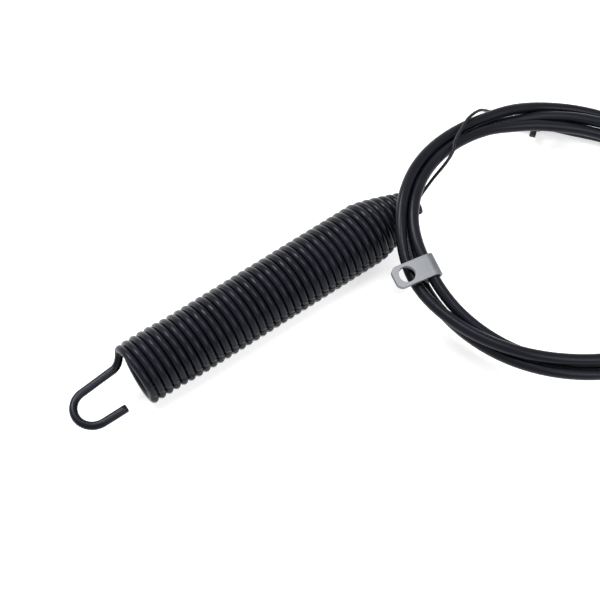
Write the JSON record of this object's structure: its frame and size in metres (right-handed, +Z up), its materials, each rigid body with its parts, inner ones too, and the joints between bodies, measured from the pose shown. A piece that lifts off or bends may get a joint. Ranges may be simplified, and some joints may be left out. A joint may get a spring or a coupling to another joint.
{
  "type": "control cable with extension spring",
  "caption": "Coiled mower control cable: black conduit with a stranded inner wire, a long extension spring with cone and open hook, a P-clip and end fittings",
  "frame": {"origin": "middle of the footprint's bounding box, on the surface that the cable lies on", "axes": "+Z up, +X from the spring's hook towards the coil, +Y to the back as in the picture"},
  "size_m": [0.3171, 0.1684, 0.0332],
  "materials": {
    "black_spring_steel": "satin black coated spring steel",
    "zinc_plated_steel": "satin zinc plate",
    "stranded_wire": "dark oiled steel strands",
    "black_jacket": "extruded, satin",
    "wound_armour": "bare wound steel",
    "white_liner": "extruded",
    "black_moulding": "moulded, satin"
  },
  "bodies": {
    "conduit": {"conduit_jacket": "black_jacket", "conduit_armour": "wound_armour", "conduit_liner": "white_liner", "inner_wire": "stranded_wire", "spring_end_fitting": "black_moulding", "lever_end_ferrule": "zinc_plated_steel"},
    "clip": {"p_clip": "zinc_plated_steel"},
    "lever_wire": {"inner_wire_lever_end": "stranded_wire", "wire_end_barrel": "zinc_plated_steel"},
    "spring_seat": {"wire_end_stop": "zinc_plated_steel"},
    "spring": {"tension_spring": "black_spring_steel"}
  },
  "joints": [
    {"name": "clip_turn", "type": "hinge", "parent": "conduit", "child": "clip", "pos_m": [-0.01009, -0.0169, 0.02821], "axis": [-0.4125, 0.8985, 0.1504], "range_deg": [0, 100]},
    {"name": "wire_slide", "type": "slide", "parent": "conduit", "child": "lever_wire", "axis": [0.34, -0.9404, 0], "range_m": [0, 0.03]},
    {"name": "spring_swivel", "type": "hinge", "parent": "conduit", "child": "spring_seat", "pos_m": [-0.01422, 0.02351, 0.0145], "axis": [0.8151, 0.5793, 0], "continuous": true},
    {"name": "spring_stretch", "type": "slide", "parent": "spring_seat", "child": "spring", "axis": [-0.8151, -0.5793, 0], "range_m": [0, 0.06], "stiffness_N_per_m": 3200, "deforming": ["tension_spring"]}
  ]
}
